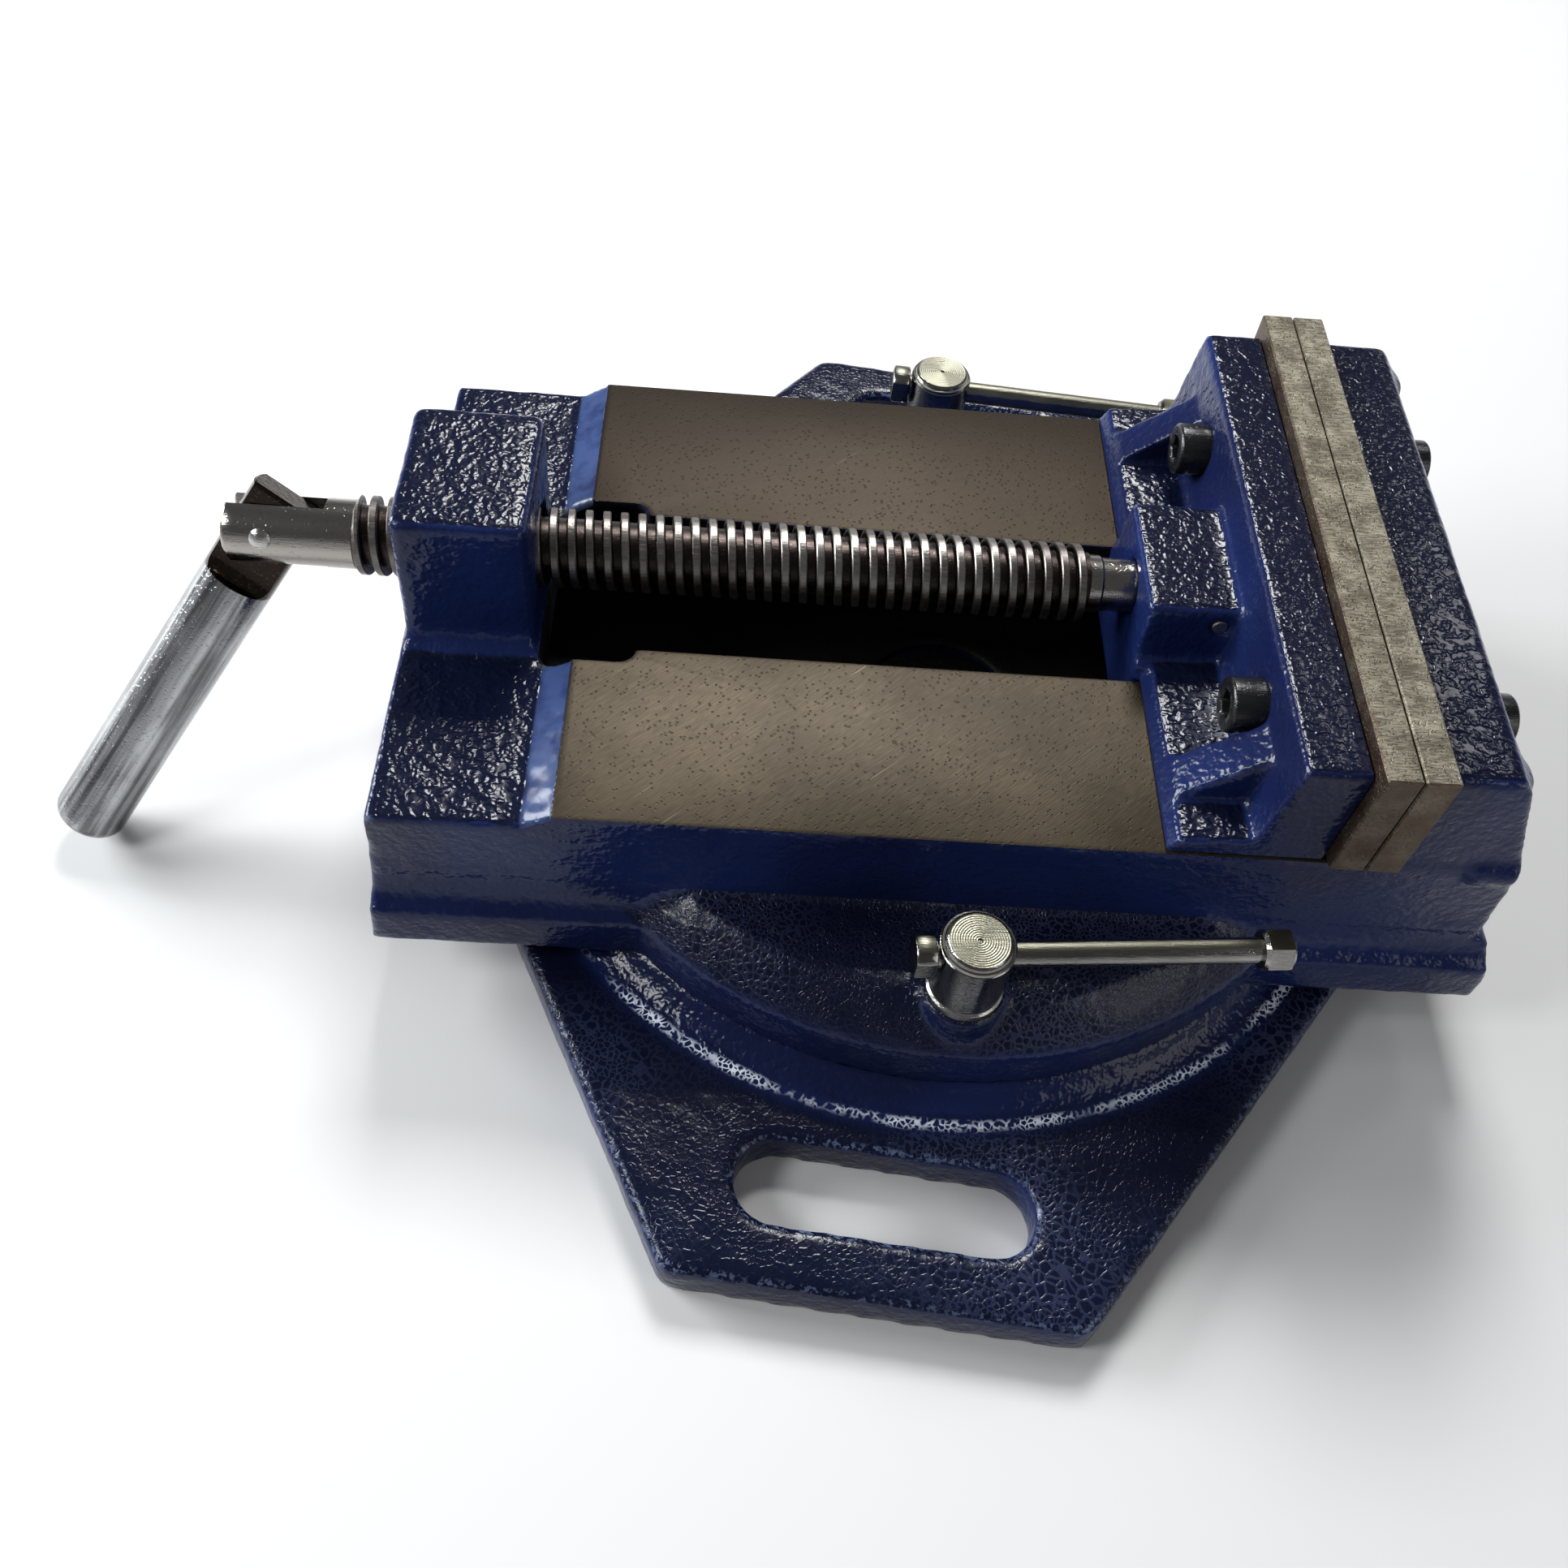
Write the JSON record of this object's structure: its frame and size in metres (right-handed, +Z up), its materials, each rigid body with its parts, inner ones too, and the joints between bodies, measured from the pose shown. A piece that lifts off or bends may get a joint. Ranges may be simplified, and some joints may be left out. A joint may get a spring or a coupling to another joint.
{
  "type": "drill press vise",
  "caption": "Drill-press bench vise on a slotted swivel base, with ground jaw plates, square-thread screw, folding handle and tommy-bar clamp nuts.",
  "frame": {"origin": "on the swivel axis, at the flat underside of the base", "axes": "+Z up along the swivel axis, +X along the screw from the handle towards the fixed jaw, +Y along the jaws"},
  "size_m": [0.3628, 0.3252, 0.1045],
  "materials": {
    "casting_blue": "dark blue hammertone enamel on rough castings",
    "jaw_steel": "ground steel, lightly tarnished",
    "black_oxide": "black oxide",
    "plain_steel": "machined steel",
    "screw_chrome": "bright turned steel",
    "zinc_steel": "satin zinc plate",
    "nut_chrome": "bright nickel plate"
  },
  "bodies": {
    "base": {"swivel_base": "casting_blue"},
    "vise": {"vise_body": "casting_blue", "fixed_jaw_plate": "jaw_steel", "fixed_jaw_screws": "black_oxide", "t_bolts": "black_oxide", "clamp_washers": "zinc_steel"},
    "jaw": {"movable_jaw": "casting_blue", "movable_jaw_plate": "jaw_steel", "movable_jaw_screws": "black_oxide", "keeper_plate": "plain_steel", "keeper_screws": "black_oxide", "retaining_pin": "plain_steel"},
    "screw": {"lead_screw": "screw_chrome", "handle_pin": "screw_chrome"},
    "handle": {"screw_handle": "zinc_steel"},
    "near_nut": {"near_clamp_nut": "nut_chrome"},
    "near_bar": {"near_clamp_bar": "nut_chrome", "near_bar_knob": "nut_chrome"},
    "far_nut": {"far_clamp_nut": "nut_chrome"},
    "far_bar": {"far_clamp_bar": "nut_chrome", "far_bar_knob": "nut_chrome"}
  },
  "joints": [
    {"name": "swivel", "type": "hinge", "parent": "base", "child": "vise", "pos_m": [0, 0, 0.02], "axis": [0, 0, 1], "continuous": true},
    {"name": "screw_spin", "type": "hinge", "parent": "jaw", "child": "screw", "pos_m": [0, 0, 0.0779], "axis": [1, 0, 0], "range_deg": [-11040, 0]},
    {"name": "jaw_slide", "type": "slide", "parent": "vise", "child": "jaw", "axis": [1, 0, 0], "range_m": [-0.13, 0]},
    {"name": "handle_fold", "type": "hinge", "parent": "screw", "child": "handle", "pos_m": [-0.1692, 0, 0.0779], "axis": [0, -0.8829, 0.4695], "range_deg": [-135, 21]},
    {"name": "near_nut_turn", "type": "hinge", "parent": "vise", "child": "near_nut", "pos_m": [0, -0.0948, 0.055], "axis": [0, 0, 1], "range_deg": [-180, 6]},
    {"name": "near_bar_slide", "type": "slide", "parent": "near_nut", "child": "near_bar", "axis": [0.9969, 0.0785, 0], "range_m": [-0.0075, 0]},
    {"name": "far_nut_turn", "type": "hinge", "parent": "vise", "child": "far_nut", "pos_m": [0, 0.0948, 0.055], "axis": [0, 0, 1], "range_deg": [-6, 180]},
    {"name": "far_bar_slide", "type": "slide", "parent": "far_nut", "child": "far_bar", "axis": [0.9969, -0.0785, 0], "range_m": [-0.0075, 0]}
  ],
  "couplings": [
    {"joint": "jaw_slide", "follows": "screw_spin", "m_per_rad": 0.00067376}
  ]
}
